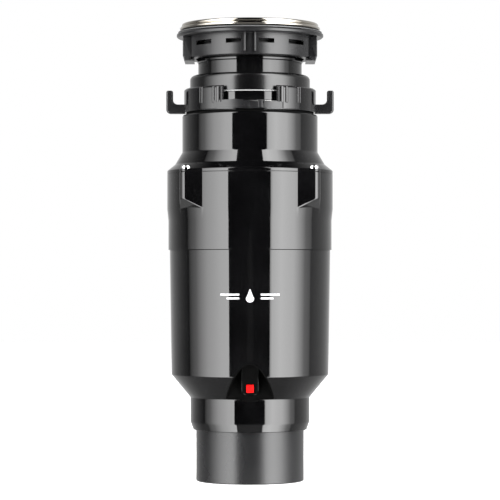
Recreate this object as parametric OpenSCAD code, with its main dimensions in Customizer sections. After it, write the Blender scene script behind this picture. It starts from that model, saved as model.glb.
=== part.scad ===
// Kitchen garbage disposal, straight-through type: the waste falls through the sink flange
// into the grinding chamber, past a sealed motor and out of the tube at the bottom.
// Millimetres. +Z is up, the vertical axis is x = y = 0, and the drain tube stands on z = 0.
// The front, with the reset button, faces -Y, and the two hooks of the lock ring lie on X.

/* [Drain end] */
// Outer radius of the drain tube
drain_r = 43.8; // [43:0.1:44]
// Length of drain tube that shows below the collar
drain_len = 41.5; // [36:0.5:60]
// Outer radius of the collar that holds the tube
collar_r = 48.45; // [48.3:0.05:48.6]
// Height of the collar, with its chamfered nose
collar_h = 26.2; // [26:0.1:30]

/* [Body] */
// Height of the cone between the collar and the lower shell
cone_h = 18.6; // [18:0.1:19]
// Radius of the lower shell where the cone ends
lower_r = 63.8; // [63.6:0.1:64.2]
// Radius of the lower shell at its seam
seam_r = 65.3; // [65.1:0.1:65.6]
// Height of the lower shell above the cone
lower_h = 100.9; // [98:0.1:104]
// Largest radius of the body, round the grinding chamber
body_r = 67.4; // [67.2:0.1:67.8]
// Height of the chamber shell
chamber_h = 61.8; // [61.6:0.1:62]
// Wall of the moulded shells
wall = 3; // [2.6:0.1:3.2]

/* [Top] */
// Radius of the cylinder below the lock ring
hopper_r = 55.1; // [54.9:0.1:55.4]
// Distance from the square bosses' faces to the axis
boss_reach = 55.8; // [55.2:0.1:56.2]
// Distance of each boss screw from the axis along X and Y
screw_reach = 50.8; // [50.6:0.1:51]
// Height of the hooks' tips above the bottom of the hooks
hook_h = 18.8; // [17:0.1:20]
// Distance from the axis to the outer face of a hook
hook_reach = 68.1; // [67.6:0.1:69]

/* [Sink mount] */
// Radius of the threaded neck below the sink
neck_r = 42.2; // [42:0.1:42.3]
// Radius of the mounting nut's plate
nut_r = 59.7; // [58.5:0.1:61]
// Radius of the steel sink flange, 4-1/2 inches across
flange_r = 57.15; // [57:0.05:57.4]
// Number of slots round the mounting nut
nut_slots = 12; // [4:4:12]

/* [Grinding section] */
// Number of slots in the grind ring
ring_slots = 24; // [12:2:28]
// Radius of the turntable
turntable_r = 52.3; // [51:0.1:52.5]
// Distance of each impeller's rivet from the axis
rivet_reach = 34; // [33:0.1:35]

/* [Motor] */
// Outer radius of the sealed motor can
can_r = 48; // [47.8:0.1:48.2]
// Number of slots in the stator
stator_slots = 12; // [8:2:12]
// Radius of the motor shaft
shaft_r = 6; // [5.8:0.1:6.2]

/* [Hidden] */
$fn = 96;

// Clearances: a part that turns on another, two fixed parts, and a cut past a face
run_gap = 0.06;
fit_gap = 0.1;
cut = 1;

// Heights of the outer body, from the bottom up
z_collar = drain_len;
z_cone = z_collar + collar_h;
z_lower = z_cone + cone_h;
z_seam = z_lower + lower_h;
z_cover = z_seam + chamber_h;
z_shoulder = z_cover + 2.5;
z_hopper = z_shoulder + 15.1;
z_land = z_hopper + 30.4;
z_ring = z_land + 1.8;
z_neck_top = z_land + 19;

// Heights of the sink mount
z_skirt = z_land + 9.6;
z_sleeve = z_skirt + 6.6;
z_neck = z_sleeve + 15.8;
// How deep the threaded neck sits in its sleeve
neck_spigot = 6;
z_nut = z_neck + 13.4;
z_plate = z_nut + 17.4;
z_washer = z_plate + 4.1;
z_gasket = z_washer + 0.9;
z_rim = z_gasket + 0.9;

// Throat of the flange: the outer radius of its tube, and the weld at the foot of the dish
throat_r = neck_r - 2.3;
throat_out = throat_r + 0.7;
z_throat = z_rim - 2.8;

// Socket of the drain tube, and the lip that a shell plugs into the next one with
socket_depth = 22;
plug_r = drain_r - 0.5;
socket_r = plug_r + fit_gap;
spigot_h = 9.8;
chamber_in_r = seam_r - wall + 0.3;

// Grinding section, up from the seam
z_plate_ring = z_seam + 9.9;
z_table = z_seam + 26.8;
z_ledge = z_seam + 34.8;
z_ring_flange = z_seam + 55.8;
grind_r = 53;
table_t = 3;

// Motor
z_can = z_seam - 85.2;
z_can_top = z_seam + 4.8;
z_core = z_seam - 65.2;
core_h = 46;
can_in_r = can_r - 1.2;
rotor_r = 27;
bearing_r = 16;
bearing_h = 10;
z_upper_bearing = z_seam + 2.9;
z_lower_bearing = z_seam - 96.1;

// Reset pocket: an arch-shaped doorway in the cone, with a flat back wall
pocket_half = 18.9;
pocket_h = 27.4;
pocket_z = z_cone + 2.2;
pocket_back = 47;
pocket_wall = 1.8;
button_z = z_cone + 9.1;
button_w = 5.8;
button_h = 6.4;
button_front = 52.2;
duct_w = 13;

// Power inlet at the back
gland_z = z_cone + 9.8;
gland_r = 7;
gland_bore_r = 4.2;
gland_pad = 60;

// ---- Shared shapes ----

module ring(r_out, r_in, z0, z1) {
  translate([0, 0, z0]) difference() {
    cylinder(r = r_out, h = z1 - z0);
    translate([0, 0, -cut]) cylinder(r = r_in, h = z1 - z0 + 2 * cut);
  }
}

module lathe(points) {
  rotate_extrude() polygon(points);
}

// A round bar along Y from y0 to y1
module bar_y(r, y0, y1, z) {
  translate([0, y0, z]) rotate([-90, 0, 0]) cylinder(r = r, h = y1 - y0);
}

// Points of an arc, from angle a0 to a1
function arc(centre, r, a0, a1, steps) =
  [for (i = [0 : steps]) centre + r * [cos(a0 + (a1 - a0) * i / steps), sin(a0 + (a1 - a0) * i / steps)]];

// A wedge of the plane, from angle a0 to a1 (less than half a turn), out to radius r
module wedge(r, a0, a1) {
  mid = (a0 + a1) / 2;
  far = r / cos((a1 - a0) / 2);
  polygon([[0, 0], far * [cos(a0), sin(a0)], 1.2 * far * [cos(mid), sin(mid)], far * [cos(a1), sin(a1)]]);
}

// Sector of a flat ring
module ring_sector(r_out, r_in, a0, a1, z0, z1) {
  translate([0, 0, z0]) linear_extrude(z1 - z0) intersection() {
    difference() {
      circle(r = r_out);
      circle(r = r_in);
    }
    wedge(r_out + 1, a0, a1);
  }
}

// The same thing at the four mirrored places round the axis
module four_ways() {
  for (sx = [0, 1], sy = [0, 1]) mirror([sx, 0, 0]) mirror([0, sy, 0]) children();
}

module at_angles(count, first = 0) {
  for (i = [0 : count - 1]) rotate([0, 0, first + i * 360 / count]) children();
}

// ---- Sink mount ----

module sink_flange() {
  color("silver") lathe(concat(
    [[throat_out, z_throat], [throat_r + 2.7, z_rim - 0.8], [throat_r + 6, z_rim]],
    arc([flange_r - 1.35, z_rim + 1.35], 1.35, -90, 62, 8),
    [[flange_r - 2, z_rim + 2.9]],
    arc([flange_r - 2.9, z_rim + 4.1], 1.4, -30, 90, 8),
    [[flange_r - 7, z_rim + 4.3], [throat_r + 5.9, z_rim + 2.2]],
    [[throat_r + 2.2, z_rim + 0.8], [throat_r - 0.1, z_rim - 2.1], [throat_out - 0.98, z_throat]]
  ));
}

// Drop tube, welded to the flange at the foot of its dish
module flange_tube() {
  sheet = 1;
  color("silver") lathe([
    [throat_r - sheet, z_neck - 5], [throat_r, z_neck - 5], [throat_r, z_rim - 5.8],
    [throat_out, z_throat], [throat_out - 0.98, z_throat], [throat_r - sheet, z_rim - 5.6]
  ]);
}

module sink_gasket() {
  color("dimgray") ring(flange_r - 3.3, neck_r + 4, z_gasket, z_rim - fit_gap);
}

module nut_washer() {
  color("gray") ring(nut_r - 1.2, neck_r + 0.8 + run_gap, z_washer, z_washer + 0.6);
}

// Plate, slotted barrel and four pairs of wrench ribs
module mounting_nut() {
  barrel_r = 50.5;
  bore_r = neck_r + 1.8;
  recess_r = 50;
  rib_x = 4.15;
  rib_t = 1.6;
  rib_r = 53.1;
  plate_h = 3.8;
  foot_z = z_nut - 2.2;
  color("#1c1c1e") difference() {
    union() {
      lathe([
        [bore_r, z_nut], [barrel_r - 0.8, z_nut], [barrel_r, z_nut + 0.8], [barrel_r, z_plate],
        [nut_r - 1, z_plate], [nut_r, z_plate + 1], [nut_r, z_plate + 2.7],
        [nut_r - 1.1, z_plate + plate_h], [recess_r, z_plate + plate_h], [bore_r, z_plate + 1.2]
      ]);
      at_angles(4) for (side = [-1, 1])
        translate([barrel_r - 1, side * rib_x - rib_t / 2, z_nut + 2.6])
          cube([rib_r - barrel_r + 1, rib_t, z_plate - z_nut - 2.5]);
      at_angles(2) for (side = [-1, 1]) translate([0, side * rib_x - rib_t / 2, foot_z]) {
        translate([barrel_r - 1, 0, 0]) cube([rib_r - barrel_r + 1, rib_t, 6]);
        translate([barrel_r - 4, 0, 0]) cube([5, rib_t, 2]);
      }
    }
    at_angles(nut_slots, 180 / nut_slots)
      translate([neck_r - 1, -6.2, z_plate - 8]) cube([12, 12.4, 3.6]);
  }
}

// Threaded neck that the nut runs on, with a spigot pressed into the sleeve below it
module mounting_neck() {
  in_r = neck_r - 2;
  crest = 0.8;
  pitch = 5;
  first_crest = z_nut - 1.8;
  foot = z_neck - neck_spigot + fit_gap;
  crests = [for (i = [0 : 4]) each [
    [neck_r, first_crest + i * pitch - 1.5], [neck_r + crest, first_crest + i * pitch - 0.7],
    [neck_r + crest, first_crest + i * pitch + 0.7], [neck_r, first_crest + i * pitch + 1.5]
  ]];
  color("#18181a") lathe(concat(
    [[in_r, foot], [neck_r, foot]],
    crests,
    [[neck_r, z_plate + 3.2], [neck_r - 0.7, z_plate + 3.2], [in_r, z_plate - 1.2]]
  ));
}

// Sleeve that enters the lock ring, with four bayonet tabs round its foot
module neck_sleeve() {
  in_r = neck_r - 2;
  skirt_in = 45.2;
  sleeve_r = 48.8;
  round_r = 4;
  seat = z_neck - neck_spigot;
  color("#18181a") union() {
    lathe(concat(
      [[skirt_in, z_skirt], [sleeve_r - 1.4, z_skirt], [sleeve_r - 1.4, z_sleeve]],
      [[sleeve_r + 0.2, z_sleeve], [sleeve_r + 0.2, z_sleeve + 1.6], [sleeve_r, z_sleeve + 1.9]],
      arc([sleeve_r - round_r, z_neck - round_r], round_r, 0, 90, 8),
      [[neck_r + fit_gap, z_neck], [neck_r + fit_gap, seat], [in_r, seat]],
      [[in_r, z_neck_top + 4], [skirt_in, z_neck_top + 4]]
    ));
    four_ways() ring_sector(50.6, sleeve_r - 1.6, 43, 61, z_skirt + 2.4, z_sleeve - 0.5);
  }
}

// Rubber baffle: a clamped rim and a dished diaphragm slit into petals
module splash_guard() {
  rim_out = 45;
  rim_in = 38;
  hole_r = 12;
  petals = 8;
  color("#101010") difference() {
    lathe([
      [rim_in, z_neck_top + 0.1], [rim_out, z_neck_top + 0.1], [rim_out, z_neck_top + 3.9],
      [rim_in, z_neck_top + 3.9], [hole_r, z_neck_top - 3.4], [hole_r, z_neck_top - 5.2],
      [rim_in - 2, z_neck_top + 0.6]
    ]);
    at_angles(petals) translate([hole_r - 3, -0.4, z_neck_top - 8]) cube([27, 0.8, 14]);
  }
}

// Ring that turns on the hopper's land, with four inner lips, two windows and two hooks
module lock_ring() {
  out_r = 53.7;
  wall_in = 50.95;
  top = z_ring + 19.2;
  base_top = z_ring + 5.9;
  window_half = 23.7;
  hook_w = 5.4;
  hook_depth = 9;
  slot_floor = z_ring + 6.9;
  hook_bottom = z_ring - 0.6;
  color("#161618") union() {
    ring(out_r, 46 + run_gap, z_ring, base_top);
    difference() {
      lathe([
        [wall_in, base_top - 0.5], [out_r, base_top - 0.5], [out_r, top - 1.2],
        [out_r - 1.2, top], [wall_in + 0.4, top], [wall_in, top - 0.4]
      ]);
      for (turn = [0, 180]) rotate([0, 0, turn]) translate([0, 0, base_top])
        linear_extrude(20) wedge(out_r + 4, 270 - window_half, 270 + window_half);
    }
    // the rail in each window: a gentle hump, a stop tab and a short last stretch
    for (turn = [0, 180]) rotate([0, 0, turn]) intersection() {
      ring(out_r, wall_in, base_top - 0.5, z_ring + 12);
      translate([0, -40, 0]) rotate([90, 0, 0]) linear_extrude(20) union() {
        polygon([
          [-24, base_top - 0.5], [-24, z_ring + 6.3], [-12.5, z_ring + 8], [7, z_ring + 5.9],
          [7, z_ring + 7.5], [11.8, z_ring + 7.5], [11.8, base_top - 0.5]
        ]);
        translate([13, base_top - 0.5]) square([12, 1.1]);
      }
    }
    // thicker pads outside, and the lips that hold the bayonet tabs inside
    four_ways() ring_sector(out_r + 0.6, out_r - 1, 43, 61, z_ring + 0.6, top - 1.6);
    four_ways() ring_sector(wall_in + 1, 49.35, 42, 62, z_ring + 14.3, top - 0.6);
    for (side = [0, 1]) mirror([side, 0, 0]) translate([0, hook_depth / 2, 0])
      rotate([90, 0, 0]) linear_extrude(hook_depth) polygon(concat(
        [[out_r - 1.5, hook_bottom], [hook_reach - 2, hook_bottom], [hook_reach, hook_bottom + 2]],
        [[hook_reach, hook_bottom + hook_h], [hook_reach - hook_w, hook_bottom + hook_h]],
        arc([hook_reach - hook_w - 4, slot_floor + 4], 4, 0, -90, 8),
        [[out_r - 1.5, slot_floor]]
      ));
  }
}

// Split retaining ring in the groove above the lock ring's land
module snap_ring() {
  color("#303032") difference() {
    ring(48, 43.3, z_land + 8.05, z_land + 9.05);
    translate([-2.5, 40, z_land + 7]) cube([5, 12, 4]);
  }
}

module slip_washer() {
  color("#1a1a1a") ring(52, 46 + fit_gap, z_land, z_land + 1.4);
}

// ---- Grinding chamber ----

// Outline of a square boss whose outer corner is rounded
module boss_outline() {
  inner = 40;
  round_r = 5.2;
  union() {
    translate([inner, inner]) square([boss_reach - inner, boss_reach - inner - round_r]);
    translate([inner, inner]) square([boss_reach - inner - round_r, boss_reach - inner]);
    translate([boss_reach - round_r, boss_reach - round_r]) circle(r = round_r);
  }
}

// Hopper top: rim, shoulder, cone and cylinder, the lock ring's land and the neck
module top_cover() {
  neck_in = 41.3;
  color("#0e0e10") difference() {
    union() {
      lathe([
        [chamber_in_r, z_cover], [body_r, z_cover], [body_r, z_shoulder],
        [60.9, z_shoulder + 5.2], [hopper_r, z_hopper], [hopper_r, z_land - 1],
        [hopper_r - 1, z_land], [46, z_land], [46, z_land + 8], [43.2, z_land + 8],
        [43.2, z_land + 9.1], [44.8, z_land + 9.1], [44.8, z_neck_top], [neck_in, z_neck_top],
        [neck_in, z_land - wall], [hopper_r - wall, z_land - wall], [hopper_r - wall, z_hopper - 0.6],
        [57.6, z_shoulder + 4.1], [chamber_in_r, z_shoulder]
      ]);
      difference() {
        four_ways() translate([0, 0, z_cover]) linear_extrude(z_shoulder - z_cover) boss_outline();
        translate([0, 0, z_cover - cut]) cylinder(r = body_r - 2, h = 10);
      }
    }
    four_ways() translate([screw_reach, screw_reach, z_cover - cut]) cylinder(r = 2.1, h = 10);
  }
}

// Pressed steel funnel from the neck down to the grind ring
module hopper_liner() {
  sheet = 1.2;
  top_in = 39.9;
  mid_in = 47.4;
  low_in = grind_r - 0.4;
  z0 = z_ring_flange + 3.2;
  color("lightgray") lathe([
    [top_in, z_neck_top - 0.1], [top_in, z_land - 4.6], [mid_in, z_land - 13], [mid_in, z_hopper + 1.4],
    [low_in, z_hopper - 7.6], [low_in, z0], [chamber_in_r - 0.4, z0], [chamber_in_r - 0.4, z0 + 1.4],
    [low_in + sheet, z0 + 1.4], [low_in + sheet, z_hopper - 7.2], [mid_in + sheet, z_hopper + 1.8],
    [mid_in + sheet, z_land - 12.6], [top_in + sheet, z_land - 4.2], [top_in + sheet, z_neck_top - 0.1]
  ]);
}

module insulation_sleeve() {
  color("#5a5a52") ring(hopper_r - wall - 0.3, 48.9, z_hopper + 3, z_land - wall - 0.6);
}

module chamber_gasket() {
  color("#202020") ring(chamber_in_r - 0.2, 58.5, z_cover - 1.3, z_cover - fit_gap);
}

// Shell round the grinding chamber, with two ledges inside and four bosses with slanted undersides
module chamber_shell() {
  step_r = body_r - 1;
  root_z = z_seam + 33.5;
  color("#0e0e10") difference() {
    union() {
      lathe([
        [chamber_in_r, z_seam], [step_r, z_seam], [step_r, z_seam + 23.8], [body_r, z_seam + 33.4],
        [body_r, z_cover], [chamber_in_r, z_cover], [chamber_in_r, z_ledge + 4], [59, z_ledge + 4],
        [59, z_ledge], [chamber_in_r, z_ledge - 3], [chamber_in_r, z_seam + 18.5],
        [58.5, z_seam + 17], [58.5, z_seam + 13.8], [chamber_in_r, z_seam + 13.8]
      ]);
      difference() {
        four_ways() intersection() {
          translate([0, 0, root_z]) linear_extrude(z_cover - root_z) boss_outline();
          rotate([0, 0, 45]) rotate([90, 0, 0]) linear_extrude(60, center = true) polygon([
            [50, root_z], [body_r, root_z], [body_r + 9.4, root_z + 6.7],
            [body_r + 16, root_z + 11.4], [body_r + 16, z_cover + cut], [50, z_cover + cut]
          ]);
        }
        translate([0, 0, root_z - cut]) cylinder(r = body_r - 2, h = 40);
      }
    }
    four_ways() translate([screw_reach, screw_reach, z_cover - 18]) cylinder(r = 1.7, h = 20);
  }
}

// Four pan-head screws, with cross recesses
module shell_screws() {
  head_r = 4;
  head_h = 3.2;
  four_ways() translate([screw_reach, screw_reach, z_shoulder]) color("silver") difference() {
    union() {
      lathe(concat(
        [[0, 0], [head_r, 0], [head_r, 0.8]],
        arc([head_r - 2.4, 0.8], 2.4, 0, 90, 6),
        [[0, head_h]]
      ));
      translate([0, 0, -18.5]) cylinder(r = 1.65, h = 19);
    }
    for (turn = [0, 90]) rotate([0, 0, turn]) translate([-2, -0.45, head_h - 1.4]) cube([4, 0.9, 3]);
  }
}

// Steel ring that the food is ground against, slotted at the turntable's height
module grind_ring() {
  out_r = 58;
  color("lightsteelblue") difference() {
    lathe([
      [grind_r, z_seam + 24.8], [out_r, z_seam + 24.8], [out_r, z_ring_flange],
      [chamber_in_r - 0.4, z_ring_flange], [chamber_in_r - 0.4, z_ring_flange + 3.1],
      [grind_r, z_ring_flange + 3.1]
    ]);
    at_angles(ring_slots) translate([grind_r - 2, -1.5, z_seam + 24])
      cube([out_r - grind_r + 4, 3, 12]);
  }
}

module ring_damper() {
  color("#242424") ring(chamber_in_r - 0.1, 58 + fit_gap, z_ledge + 4, z_ring_flange - fit_gap);
}

// Disc with drain holes, a hub, and pumping vanes below
module turntable() {
  color("gainsboro") difference() {
    union() {
      translate([0, 0, z_table]) cylinder(r = turntable_r, h = table_t);
      translate([0, 0, z_table - 4]) cylinder(r = 11, h = 5);
      at_angles(4, 45) translate([22, -1.5, z_table - 3]) cube([26, 3, 4]);
    }
    translate([0, 0, z_table - 5]) cylinder(r = shaft_r + 0.02, h = 10);
    for (side = [-1, 1]) translate([side * rivet_reach, 0, z_table - 1]) cylinder(r = 3.05, h = 6);
    at_angles(8, 22.5) translate([42, 0, z_table - 1]) cylinder(r = 3, h = 6);
  }
}

// Swivelling lug: a flat foot on the rivet and an upright striker at its outer end
module impeller() {
  foot_z = z_table + table_t + 0.4;
  half = 6.5;
  reach = 14;
  difference() {
    union() {
      translate([rivet_reach, 0, foot_z]) cylinder(r = half, h = 4);
      translate([rivet_reach, -half, foot_z]) cube([reach, 2 * half, 4]);
      translate([rivet_reach + reach - 6, -half, foot_z]) cube([6, 2 * half, 13]);
      translate([rivet_reach + reach - 6, half, foot_z + 3]) rotate([90, 0, 0])
        linear_extrude(2 * half) polygon([[0.5, 0], [-1.2, 0], [0.5, 5]]);
    }
    translate([rivet_reach, 0, foot_z - 1]) cylinder(r = 3 + run_gap, h = 8);
  }
}

module impeller_a() {
  color("darkgray") impeller();
}

module impeller_b() {
  color("darkgray") rotate([0, 0, 180]) impeller();
}

module impeller_rivets() {
  foot_z = z_table + table_t + 0.4;
  color("silver") for (side = [-1, 1]) translate([side * rivet_reach, 0, 0]) union() {
    translate([0, 0, z_table - 2]) cylinder(r = 5, h = 1.9);
    translate([0, 0, z_table - 1]) cylinder(r = 3, h = foot_z - z_table + 6);
    translate([0, 0, foot_z + 4.4]) cylinder(r = 5, h = 1.8);
  }
}

// Hexagonal cap nut on the end of the shaft
module turntable_nut() {
  z0 = z_table + table_t + 0.1;
  color("silver") difference() {
    union() {
      translate([0, 0, z0]) cylinder(r = 9.5, h = 6.5, $fn = 6);
      lathe(concat(
        [[0, z0 + 5], [7.6, z0 + 5], [7.6, z0 + 6.5]],
        arc([4.6, z0 + 6.5], 3, 0, 90, 6),
        [[0, z0 + 9.5]]
      ));
    }
    translate([0, 0, z0 - 1]) cylinder(r = 5, h = 6.4);
  }
}

// ---- Motor ----

module shaft_seal() {
  z0 = z_seam + 13.9;
  bore = shaft_r + run_gap;
  color("#151515") lathe([
    [bore, z0 + 4], [bore + 2, z0], [13, z0], [13, z0 + 7.8], [10.5, z0 + 7.8],
    [10.5, z0 + 3], [8.6, z0 + 3], [bore + 0.8, z0 + 7.8], [bore, z0 + 7.8]
  ]);
}

// Top end of the motor: holds the upper bearing and the seal, and hangs in the body on four arms
module bearing_plate() {
  boss_r = 20;
  seal_r = 13.05;
  top = z_seam + 21.8;
  color("#9a9da0") union() {
    lathe([
      [can_in_r - 4.8, z_can_top - 4], [can_in_r - 0.1, z_can_top - 4], [can_in_r - 0.1, z_can_top],
      [can_r, z_can_top], [can_r, z_can_top + 5], [boss_r, z_can_top + 11], [boss_r, top],
      [seal_r, top], [seal_r, top - 8], [7.5, top - 8], [7.5, z_upper_bearing + bearing_h + 0.1],
      [bearing_r + 0.05, z_upper_bearing + bearing_h + 0.1], [bearing_r + 0.05, z_upper_bearing],
      [boss_r, z_upper_bearing], [boss_r, z_can_top + 3], [can_in_r - 4.8, z_can_top + 1]
    ]);
    ring(chamber_in_r - 0.3, 57.6, z_plate_ring, z_plate_ring + 3.8);
    at_angles(4, 45) translate([can_r - 2, -4.5, z_can_top + 1]) cube([12, 9, 8.9]);
  }
}

// Deep-groove ball bearing with a sunk shield on each side
module bearing(z0) {
  bore = shaft_r + 0.05;
  lathe([
    [bore, z0], [9, z0], [9, z0 + 0.6], [13.2, z0 + 0.6], [13.2, z0], [bearing_r, z0],
    [bearing_r, z0 + bearing_h], [13.2, z0 + bearing_h], [13.2, z0 + bearing_h - 0.6],
    [9, z0 + bearing_h - 0.6], [9, z0 + bearing_h], [bore, z0 + bearing_h]
  ]);
}

module upper_bearing() {
  color("silver") bearing(z_upper_bearing);
}

module lower_bearing() {
  color("silver") bearing(z_lower_bearing);
}

module lower_bracket() {
  seat = bearing_r + 0.05;
  color("#8f9294") lathe([
    [12, z_lower_bearing - 2.1], [20, z_lower_bearing - 2.1], [20, z_can + 1.6],
    [can_in_r - 0.2, z_can + 1.6], [can_in_r - 0.2, z_can + 4], [seat, z_can + 4],
    [seat, z_lower_bearing - 0.1], [12, z_lower_bearing - 0.1]
  ]);
}

module motor_shaft() {
  foot = z_lower_bearing - 2.6;
  color("lightgray") union() {
    translate([0, 0, foot]) cylinder(r = shaft_r, h = z_table + table_t - foot);
    translate([0, 0, z_table]) cylinder(r = 4.9, h = 8);
  }
}

module rotor_core() {
  color("#70757a") ring(rotor_r, shaft_r + 0.01, z_core, z_core + core_h);
}

// Cast end rings with cooling fins
module rotor_end_rings() {
  color("lightgray") union() {
    ring(rotor_r - 0.5, 15, z_core - 6, z_core);
    ring(rotor_r - 0.5, 15, z_core + core_h, z_core + core_h + 6);
    at_angles(8) translate([17, -1, z_core + core_h + 5]) cube([9, 2, 5]);
    at_angles(8) translate([17, -1, z_core - 10]) cube([9, 2, 5]);
  }
}

module stator_core() {
  bore = rotor_r + 0.4;
  color("#5f646b") translate([0, 0, z_core]) linear_extrude(core_h) difference() {
    circle(r = can_in_r - 0.1);
    circle(r = bore);
    at_angles(stator_slots) translate([30, -3.8]) square([12, 7.6]);
    at_angles(stator_slots) translate([bore - 1, -1.2]) square([4, 2.4]);
  }
}

// Copper in the slots, and the end turns above and below the core
module stator_windings() {
  turn_in = 30.4;
  turn_out = 43.4;
  color("#b5652b") union() {
    at_angles(stator_slots) translate([turn_in, -3.6, z_core - 1]) cube([11.2, 7.2, core_h + 2]);
    for (end = [z_core - 7, z_core + core_h + 7])
      lathe(concat(
        arc([turn_out - 3, end + 3.6], 3, 0, 90, 5), arc([turn_in + 3, end + 3.6], 3, 90, 180, 5),
        arc([turn_in + 3, end - 3.6], 3, 180, 270, 5), arc([turn_out - 3, end - 3.6], 3, 270, 360, 5)
      ));
  }
}

// Deep-drawn can, open at the top, with an inward flange at the bottom
module motor_can() {
  color("#b9bcc0") lathe([
    [34, z_can], [can_r - 1.5, z_can], [can_r, z_can + 1.5], [can_r, z_can_top - fit_gap],
    [can_in_r, z_can_top - fit_gap], [can_in_r, z_can + 1.5], [34, z_can + 1.5]
  ]);
}

// Bottom cap of the motor, with a dry duct to the reset button and one to the power inlet
module motor_base() {
  top = z_can - 1;
  floor_z = z_cone + 2.3;
  color("#2a2a2d") difference() {
    union() {
      lathe([
        [0, floor_z], [28, floor_z], [32, floor_z + 2], [42, floor_z + 20], [44, floor_z + 29],
        [46.5, top - 1], [46.5, top], [0, top]
      ]);
      translate([-duct_w / 2, -pocket_back + pocket_wall + fit_gap, button_z - duct_w / 2])
        cube([duct_w, 20, duct_w]);
      bar_y(8.5, 28, 44.2, gland_z);
    }
    lathe([
      [0, floor_z + 2.5], [26, floor_z + 2.5], [30, floor_z + 4], [39.4, floor_z + 20.5],
      [41.4, floor_z + 29], [41.4, top + 2], [0, top + 2]
    ]);
    translate([-5, -pocket_back, button_z - 5]) cube([10, 22, 10]);
    bar_y(gland_bore_r + 1, 24, 60, gland_z);
  }
}

module base_gasket() {
  color("#202020") ring(46, 41.6, z_can - 0.95, z_can - 0.05);
}

// Ring board above the lower bracket, with three blade terminals
module connection_board() {
  z0 = z_can + 4.2;
  color("darkgreen") union() {
    ring(44, 31, z0, z0 + 1.4);
    for (turn = [-30, 0, 30]) rotate([0, 0, turn]) translate([-0.4, 39, z0 + 1]) cube([0.8, 4, 1]);
  }
}

// Thermal breaker behind the reset button, with its plunger
module overload_protector() {
  color("#3b3b3b") union() {
    translate([-7, -28.5, button_z - 1.4]) cube([14, 14.5, 8.6]);
    bar_y(1.2, -35, -28, button_z);
  }
}

// ---- Lower body ----

// Arch whose sides close faster towards the top, with a dip in the middle of its sill
module arch(shrink = 0) {
  half = pocket_half - shrink;
  high = pocket_h - shrink;
  steps = 14;
  side = [for (i = [0 : steps]) let (t = 1 - pow(1 - i / steps, 2))
    [half * sqrt(1 - pow(t, 1.25)), high * t]];
  sill = 1.9 - shrink;
  dip = 3.5 - shrink;
  polygon(concat(
    [[-half, -sill], [shrink - 8, -sill], [shrink - 6, -dip], [6 - shrink, -dip]],
    [[8 - shrink, -sill], [half, -sill]], side,
    [for (i = [steps - 1 : -1 : 0]) [-side[i][0], side[i][1]]]
  ));
}

module arch_block(shrink, y0, y1) {
  translate([0, y1, pocket_z]) rotate([90, 0, 0]) linear_extrude(y1 - y0) arch(shrink);
}

// Matt insert: a rim that follows the shell, a flat back wall and a raised tongue
module reset_housing() {
  rim = 1.3;
  tongue_half = 6.4;
  color("#050505") difference() {
    union() {
      intersection() {
        difference() {
          arch_block(0.05, -70, -pocket_back + pocket_wall);
          arch_block(rim, -71, -pocket_back);
        }
        lathe([
          [0, z_cone - 4], [collar_r - 0.3, z_cone - 4], [collar_r - 0.3, z_cone],
          [lower_r - 0.4, z_lower], [lower_r - 0.2, z_lower + 20], [0, z_lower + 20]
        ]);
      }
      intersection() {
        arch_block(0.6, -70, -pocket_back + 0.5);
        translate([-tongue_half, 0, 0]) rotate([90, 0, 90])
          linear_extrude(2 * tongue_half) polygon([
            [-pocket_back + 0.5, pocket_z + 1.8], [-49, pocket_z + 1.8], [-58, pocket_z + 25],
            [-58, pocket_z + 28], [-pocket_back + 0.5, pocket_z + 28]
          ]);
        translate([0, -40, pocket_z + 1.8]) rotate([90, 0, 0]) linear_extrude(30) union() {
          translate([-tongue_half, 3]) square([2 * tongue_half, 26]);
          translate([-tongue_half + 3, 0]) square([2 * tongue_half - 6, 4]);
          for (side = [-1, 1]) translate([side * (tongue_half - 3), 3]) circle(r = 3);
        }
      }
    }
    translate([-button_w / 2 - 0.35, -60, button_z - button_h / 2 - 0.35])
      cube([button_w + 0.7, 20, button_h + 0.7]);
  }
}

module reset_button() {
  back = -pocket_back + pocket_wall + 0.4;
  color("red") union() {
    translate([-button_w / 2, -button_front, button_z - button_h / 2])
      cube([button_w, button_front + back, button_h]);
    translate([-4.2, back - 0.01, button_z - 4.2]) cube([8.4, 1, 8.4]);
    bar_y(1.5, back, -37, button_z);
  }
}

// Return spring, five closed turns
module button_spring() {
  turns = 5;
  y0 = -43;
  y1 = -37.6;
  color("silver") for (i = [0 : turns - 1])
    translate([0, y0 + (y1 - y0) * i / (turns - 1), button_z]) rotate([90, 0, 0])
      rotate_extrude() translate([2.6, 0]) circle(r = 0.35);
}

// Lower shell: collar, cone and tapered barrel, with the reset doorway and the inlet's pad
module lower_shell() {
  spigot_r = chamber_in_r - 0.2;
  spigot_in = spigot_r - wall;
  pad_r = 10.5;
  top = z_seam + spigot_h;
  color("#0e0e10") difference() {
    union() {
      lathe([
        [0, z_collar], [drain_r + 2.3, z_collar], [collar_r - 0.05, z_collar + 6.5],
        [collar_r, z_cone],
        [lower_r, z_lower], [seam_r, z_seam], [spigot_r, z_seam], [spigot_r, top], [0, top]
      ]);
      bar_y(pad_r, 30, gland_pad, gland_z);
    }
    lathe([
      [0, z_collar - cut], [socket_r, z_collar - cut], [socket_r, z_collar + socket_depth + 0.2],
      [42.5, z_collar + socket_depth + 0.2], [42.5, z_cone - 2.2], [44, z_cone - 0.2],
      [lower_r - wall, z_lower + 1.7], [seam_r - wall - 0.1, z_seam - 9], [spigot_in, z_seam - 4],
      [spigot_in, top + cut], [0, top + cut]
    ]);
    ring(spigot_r + 5, spigot_r - 1.6, z_seam + 3.4, z_seam + 5.6);
    arch_block(0, -80, -pocket_back + pocket_wall);
    bar_y(gland_r + 0.05, 40, 70, gland_z);
    bar_y(pad_r, gland_pad, 80, gland_z);
  }
}

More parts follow.
